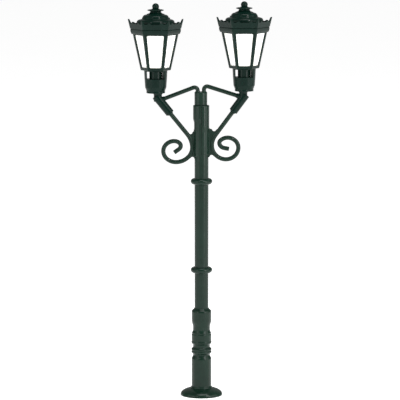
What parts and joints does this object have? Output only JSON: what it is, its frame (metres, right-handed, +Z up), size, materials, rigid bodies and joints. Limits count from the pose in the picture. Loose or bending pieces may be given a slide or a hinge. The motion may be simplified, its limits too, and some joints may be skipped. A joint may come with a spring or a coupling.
{
  "type": "model railway double park lamp",
  "caption": "Scale park lamp: domed foot, turned pedestal, round mast with rings, curled brackets and six-sided lanterns whose roofs lift off.",
  "frame": {"origin": "centre of the foot's flat underside, on the mast's axis", "axes": "+Z up along the mast, -Y towards the front that faces the viewer, +X to the right lantern"},
  "size_m": [0.0221, 0.0074, 0.061],
  "materials": {
    "green_metal": "gloss",
    "green_plastic": "gloss",
    "milky_glazing": "satin",
    "lamp_glass": "clear",
    "insulator": "matt",
    "contact": "satin",
    "wire": "enamelled"
  },
  "bodies": {
    "lamp": {"foot": "green_metal", "pedestal": "green_metal", "mast_tube": "green_metal", "ring_lower": "green_metal", "ring_upper": "green_metal", "mast_cap": "green_metal", "foot_bush": "insulator", "bracket_left": "green_plastic", "bracket_right": "green_plastic", "lead_tube_left": "green_metal", "lead_tube_right": "green_metal", "wire_left": "wire", "wire_right": "wire", "elbow_left": "green_plastic", "elbow_right": "green_plastic", "holder_left": "green_plastic", "holder_right": "green_plastic", "core_left": "insulator", "core_right": "insulator", "contact_left": "contact", "contact_right": "contact", "lamp_left": "lamp_glass", "lamp_right": "lamp_glass", "cage_left": "green_plastic", "cage_right": "green_plastic", "glazing_left": "milky_glazing", "glazing_right": "milky_glazing"},
    "roof_left_body": {"cornice_left": "green_plastic", "roof_left": "green_plastic", "vent_left": "green_plastic", "finial_left": "green_plastic"},
    "roof_right_body": {"cornice_right": "green_plastic", "roof_right": "green_plastic", "vent_right": "green_plastic", "finial_right": "green_plastic"}
  },
  "joints": [
    {"name": "roof_left_lift", "type": "slide", "parent": "lamp", "child": "roof_left_body", "axis": [0, 0, 1], "range_m": [0, 0.01]},
    {"name": "roof_right_lift", "type": "slide", "parent": "lamp", "child": "roof_right_body", "axis": [0, 0, 1], "range_m": [0, 0.01]}
  ]
}
